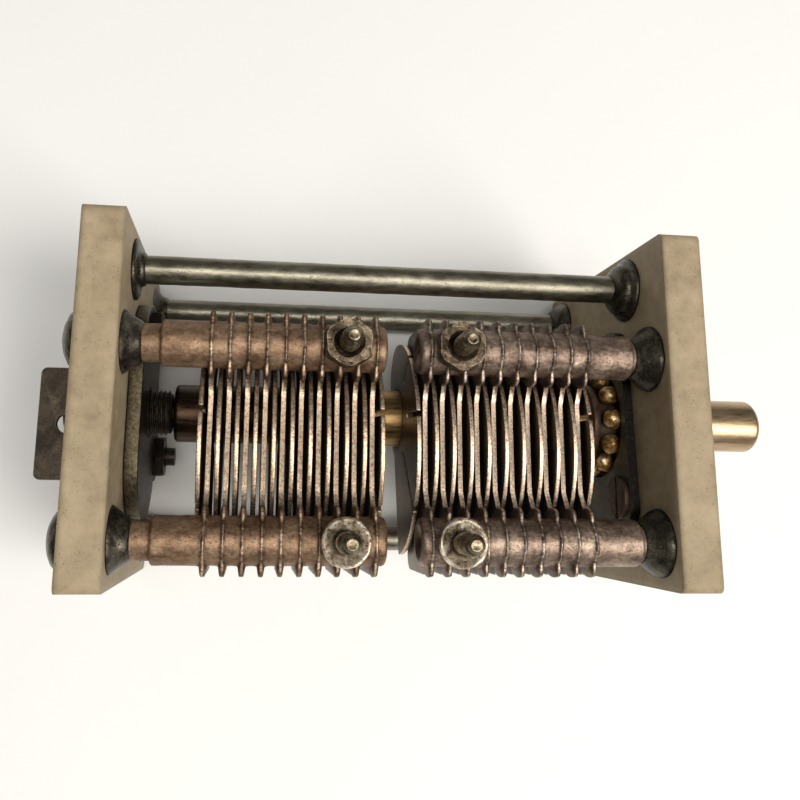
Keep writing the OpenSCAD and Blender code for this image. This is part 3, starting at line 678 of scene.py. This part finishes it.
def lump(spot, face, away, profile, seed, rough_mm):
    """A soldered collar or cap on an end plate, from profile rows of (distance off the plate, radius)."""
    points = fine(close_ends(rounded(profile, 0.25)), 0.2)
    points = [(face + away * distance, radius) for distance, radius in points]
    if away < 0:
        points.reverse()
    reach = max(radius for _, radius in profile)

    def extra(at, along, turn):
        radial = np.hypot(at[..., 1] - spot[0], at[..., 2] - spot[1])
        share = np.clip(radial / reach, 0, 1)
        return rough_mm * share * (field(at, 3.2, seed) + 0.5 * field(at, 1.1, seed + 1) - 1.2)

    return revolve((0, spot[0], spot[1]), "x", points, 72, extra)


def solder_work(name, node, rods, faces, profiles, seeds, rough_mm):
    """One piece with a lump where every rod meets the rear and the front plate.

    faces holds (place, way off the plate), profiles a (rear, front) pair for each rod.
    """
    parts = []
    for order, (rod, pair) in enumerate(zip(rods, profiles)):
        spot = (middle(rod).y, middle(rod).z)
        for (face, away), profile, seed in zip(faces, pair, seeds):
            parts.append(lump(spot, face, away, profile, seed + order, rough_mm))
    settle(skin(name, parts), "frame", SOLDER, node)


INSIDE = ((REAR_FACE, 1), (FRONT_FACE, -1))
OUTSIDE = ((REAR_OUTSIDE, -1), (FRONT_OUTSIDE, 1))
TIE_WASHER = [(0, 3.42), (0.35, 3.4), (0.55, 3.0), (0.62, 2.2), (0.75, 1.95), (1.15, 1.86), (1.25, 1.66)]
TIE_CONE = [(0, 3.3), (0.2, 2.95), (0.5, 2.45), (0.9, 2.05), (1.35, 1.8), (1.7, 1.66)]
TIE_DISC = [(0, 3.72), (0.35, 3.68), (0.6, 3.4), (0.75, 3.1), (1.25, 2.95), (1.7, 2.5), (2.1, 1.7)]
LOWER_DISC = [(0, 3.3), (0.3, 3.25), (0.8, 2.85), (1.4, 2.5), (1.9, 2.0), (2.1, 1.7)]
TIE_COLLARS = [(TIE_WASHER, TIE_DISC), (TIE_CONE, LOWER_DISC), (TIE_CONE, LOWER_DISC)]
TIE_CAP = [(0.0, 3.0), (0.35, 2.85), (0.75, 2.4), (1.05, 1.6), (1.22, 0.7), (1.25, 0.2)]
ROD_CONE = [(0, 3.4), (0.3, 3.25), (0.7, 2.9), (1.2, 2.55), (1.8, 2.25), (2, 2.08)]
ROD_DISC = [(0, 3.63), (0.35, 3.6), (0.8, 3.35), (1.3, 2.95), (1.8, 2.5), (2.2, 2.2), (2.4, 2.08)]
ROD_CAP = [(0.0, 3.4), (0.5, 3.2), (1.0, 2.7), (1.45, 1.8), (1.7, 0.8), (1.74, 0.2)]
RODS = ROD_NODES["rear"]
solder_work("visual_tie_collars", "tie_rod_flares", TIE_NODES, INSIDE, TIE_COLLARS, (300, 340), 0.02)
solder_work("visual_rod_collars", "stator_rod_flares", RODS, INSIDE, [(ROD_CONE, ROD_DISC)] * 2,
            (340, 380), 0.025)
solder_work("visual_tie_caps", "tie_rod_caps", TIE_NODES, OUTSIDE, [(TIE_CAP, TIE_CAP)] * 3,
            (400, 430), 0.05)
solder_work("visual_rod_caps", "stator_rod_caps", RODS, OUTSIDE, [(ROD_CAP, ROD_CAP)] * 2,
            (440, 470), 0.07)

# Shaft with a step outside the front plate and a softened, slightly hollow end
SHAFT_START, SHAFT_END = low("shaft").x, high("shaft").x
KNOB_RADIUS = 3.175
BODY_RADIUS = (high("shaft").z - low("shaft").z) / 2
SHAFT_STEP = FRONT_OUTSIDE + 0.3
SHAFT_CHAMFER = 0.3
profile = rounded([
    (SHAFT_START, ON_AXIS), (SHAFT_START, BODY_RADIUS - SHAFT_CHAMFER),
    (SHAFT_START + SHAFT_CHAMFER, BODY_RADIUS), (SHAFT_STEP, BODY_RADIUS), (SHAFT_STEP, KNOB_RADIUS),
    (SHAFT_END - 0.55, KNOB_RADIUS), (SHAFT_END - 0.12, KNOB_RADIUS - 0.4),
    (SHAFT_END, KNOB_RADIUS - 0.75), (SHAFT_END - 0.04, 0.6), (SHAFT_END - 0.3, ON_AXIS)], 0.2)
TURNED = (3, 0.2, 0.2)
shaft = skin("visual_shaft", [
    revolve(ON_SHAFT, "x", fine(profile, 0.4), 96, uneven(0.004, 1.2, 70, TURNED))])
crease(shaft, 50)
settle(shaft, "rotor", SHAFT_BRASS, "shaft")


# ---------------------------------------------------------------- threads, nuts and washers

THREAD_STEPS = 9


def thread(centre, axis, start, end, radius, pitch, depth, tip, end_radius, seed, segments=40):
    """A screw thread with a worn crest, a cone over the tip's length and a slightly hollow end face."""
    distances = np.linspace(start, end, math.ceil((end - start) / pitch * THREAD_STEPS) + 1)

    def shape(along, turn, base):
        phase = (along / pitch - turn / TURN) % 1.0
        # Flat for a stretch at the crest and at the root, with sloped sides between them
        groove = np.clip(np.abs(phase - 0.5) * 2.6 - 0.25, 0, 1)
        near = np.clip((end - along) / tip, 0, 1)
        share = np.clip(near * 2, 0, 1)
        cone = end_radius / radius + (1 - end_radius / radius) * near ** 0.8
        return np.where(base > end_radius + 0.01, (base - depth * (1 - groove) * share) * cone, base)

    profile = [(start, ON_AXIS)] + [(distance, radius) for distance in distances]
    profile += [(end, end_radius * 0.8), (end - 0.06, end_radius * 0.5), (end - 0.08, ON_AXIS)]
    return revolve(centre, axis, profile, segments, uneven(0.01, 0.9, seed), shape)


def hex_nut(centre, axis, span, corner, bore, sink, seed, turn_by=0.0, lumpy=0.35):
    """A hexagon nut between two places, with chamfered corners and a hole countersunk at both faces."""
    base, height = span[0], span[1] - span[0]
    flat = corner * math.cos(TURN / 12)
    cut = height * 0.2

    def shape(along, turn, code):
        """The radius for each kind of row: 0 the bore, 1 the sink, 2 a chamfer, 3 a flat side."""
        wedge = (turn + turn_by) % (TURN / 6) - TURN / 12
        side = flat / np.cos(wedge)
        chamfered = np.minimum(side, flat * 1.07)
        return np.where(code > 2.5, side, np.where(code > 1.5, chamfered, np.where(code > 0.7, sink, bore)))

    rows = [(base + cut * 0.8, 0), (base, 1), (base, 2), (base + cut, 3), (base + height - cut, 3),
            (base + height, 2), (base + height - 0.02, 1), (base + height - cut * 1.6, 0)]
    grid = revolve(centre, axis, rows, 96, None, shape)
    grid = np.concatenate([grid, grid[:1]])
    ripple = 0.03 * (field(grid, 2.2, seed) - 1)
    hub = np.array(centre) + np.array(AXES[axis][0]) * (base + height / 2)
    away = grid - hub
    return hub + away * (1 + ripple[..., None] * lumpy)


STUD_RADIUS = 1.1
STUD_BORE = 1.02
NUT_CORNER = 2.75
NUT_SINK = 1.65
SEAT_RADIUS = 2.55
FAR_Y, NEAR_Y = (middle(node).y for node in RODS)
STUDS_X = low("terminal_studs").x + STUD_RADIUS, high("terminal_studs").x - STUD_RADIUS
STUD_FOOT, STUD_TOP = middle(RODS[0]).z, high("terminal_studs").z
stud_spots = [(x, y, 0) for x in STUDS_X for y in (FAR_Y, NEAR_Y)]
studs = skin("visual_terminal_studs", [
    thread(spot, "z", STUD_FOOT, STUD_TOP, STUD_RADIUS, pitch=0.45, depth=0.13, tip=0.85,
           end_radius=0.58, seed=500 + order) for order, spot in enumerate(stud_spots)])
crease(studs, 60)
settle(studs, "frame", STUD_METAL, "terminal_studs")

span = low("terminal_nuts").z, high("terminal_nuts").z
nuts = ring("visual_terminal_nuts", [
    hex_nut((x, FAR_Y, 0), "z", span, NUT_CORNER, STUD_BORE, NUT_SINK, 520 + order,
            turn_by=TURN / 12, lumpy=0.7 - 0.3 * order) for order, x in enumerate(STUDS_X)])
settle(nuts, "frame", NUT_METAL, "terminal_nuts")


def seat(centre, span, outer, bore, seed):
    """A dished round seat: a raised outer rim and a slope down to the stud."""
    base, top = span
    rows = [(base, bore), (base, outer - 0.15), (base + 0.15, outer), (top - 0.25, outer),
            (top - 0.06, outer - 0.1), (top, outer - 0.25), (top - 0.05, outer - 0.42),
            (top - 0.2, outer - 0.7), (top - 0.3, outer - 1.0), (top - 0.42, bore + 0.3),
            (top - 0.62, bore + 0.05), (base + 0.2, bore), (base, bore)]
    return revolve(centre, "z", rows, 64, uneven(0.03, 1.2, seed))


span = low("terminal_washers").z, high("terminal_washers").z
seats = ring("visual_terminal_seats", [
    seat((x, NEAR_Y, 0), span, SEAT_RADIUS, STUD_BORE, 540 + order) for order, x in enumerate(STUDS_X)])
settle(seats, "frame", BRIGHT_SEAT, "terminal_washers")

# Rear adjusting screw, its lock nut and the two bearing nuts
screw = skin("visual_adjusting_screw", [
    thread(ON_SHAFT, "x", low("adjusting_screw").x, high("adjusting_screw").x, radius=2.65, pitch=0.5,
           depth=0.27, tip=0.4, end_radius=2.2, seed=560, segments=64)])
crease(screw, 60)
settle(screw, "frame", DARK_STEEL, "adjusting_screw")
span = low("adjusting_lock_nut").x, high("adjusting_lock_nut").x
nut = ring("visual_lock_nut", [hex_nut(ON_SHAFT, "x", span, corner=4.6, bore=2.5, sink=3.0, seed=570)])
settle(nut, "frame", DULL_BRASS, "adjusting_lock_nut")
BEARING_SPOTS = (0, SHAFT_Y - 4.6, SHAFT_Z - 8.2), (0, SHAFT_Y + 9.1, SHAFT_Z + 2.0)
span = low("rear_bearing_nuts").x, high("rear_bearing_nuts").x
nuts = ring("visual_bearing_nuts", [
    hex_nut(spot, "x", span, corner=2.65, bore=1.0, sink=1.3, seed=580 + order, turn_by=0.4)
    for order, spot in enumerate(BEARING_SPOTS)])
settle(nuts, "frame", DARK_STEEL, "rear_bearing_nuts")

# Loose balls with a film of old grease
BALLS = 11
BALL_RADIUS = 1.19
BALL_CIRCLE = 5.35
BALL_ROWS = 24
ball_x = middle("bearing_balls").x
rows = [(-BALL_RADIUS * math.cos(math.pi * step / BALL_ROWS),
         max(ON_AXIS, BALL_RADIUS * math.sin(math.pi * step / BALL_ROWS))) for step in range(BALL_ROWS + 1)]
grids = []
for turn in (TURN * step / BALLS for step in range(BALLS)):
    centre = (ball_x, SHAFT_Y - BALL_CIRCLE * math.sin(turn), SHAFT_Z + BALL_CIRCLE * math.cos(turn))
    grids.append(revolve(centre, "x", rows, 40, uneven(0.045, 1.1, 90)))
balls = skin("visual_bearing_balls", grids)
settle(balls, "ball_ring", AMBER_STEEL, "bearing_balls")


# ---------------------------------------------------------------- floor, light and camera

def plain(name, colour, rough):
    p = Paint(name)
    grain = p.spots(1.5, detail=3, seed=1)
    tone = p.tones(p.spots(120, detail=3), [(0.3, tuple(c * 0.97 for c in colour)), (0.7, colour)])
    rough = p.ramp(grain, 0.3, 0.7, rough - 0.05, rough + 0.05)
    return p.finish(tone, rough, p.bump(grain, 0.02, 0.2), 0.0)


FLOOR_HALF = 1.6
FLOOR_DROP = 0.0002
mesh = bpy.data.meshes.new("floor")
mesh.from_pydata([(-FLOOR_HALF, -FLOOR_HALF, 0), (FLOOR_HALF, -FLOOR_HALF, 0),
                  (FLOOR_HALF, FLOOR_HALF, 0), (-FLOOR_HALF, FLOOR_HALF, 0)], [], [(0, 1, 2, 3)])
floor = bpy.data.objects.new("floor", mesh)
floor.location.z = -FLOOR_DROP
floor.data.materials.append(plain("pale_floor", (0.93, 0.93, 0.92), 0.7))
bpy.context.collection.objects.link(floor)


def softbox(name, place, size, power, colour):
    """A rectangular lamp that points at the middle of the object."""
    data = bpy.data.lights.new(name, "AREA")
    data.shape = "RECTANGLE"
    data.size, data.size_y = size
    data.energy = power
    data.color = colour
    lamp = bpy.data.objects.new(name, data)
    lamp.location = place
    lamp.rotation_euler = (LIGHT_AIM - Vector(place)).to_track_quat("-Z", "Y").to_euler()
    bpy.context.collection.objects.link(lamp)


LIGHT_AIM = Vector((0, 0, 0.02))
WARM_WHITE = (1, 0.98, 0.94)
softbox("key", (0.32, -0.19, 0.56), (0.34, 0.42), 3.5, (1, 0.965, 0.91))
softbox("top", (-0.06, -0.09, 0.75), (0.3, 0.22), 2.2, WARM_WHITE)
world = bpy.data.worlds.new("studio")
world.use_nodes = True
sky = world.node_tree.nodes["Background"]
sky.inputs["Color"].default_value = (*WARM_WHITE, 1)
sky.inputs["Strength"].default_value = 0.16
bpy.context.scene.world = world

# The camera looks down from above the rear section, a little to the near side
CAMERA_PLACE = (-0.019936, -0.010567, 0.113954)
CAMERA_TURN = (11.027, -7.016, 0.642)
lens = bpy.data.cameras.new("camera")
lens.sensor_width = 36
lens.lens = 37.005
lens.shift_x, lens.shift_y = 0.06016, -0.07056
lens.clip_start = 0.005
camera = bpy.data.objects.new("camera", lens)
camera.location = CAMERA_PLACE
camera.rotation_euler = Euler([math.radians(angle) for angle in CAMERA_TURN], "XYZ")
bpy.context.collection.objects.link(camera)
bpy.context.scene.camera = camera
bpy.context.scene.view_settings.view_transform = "Standard"
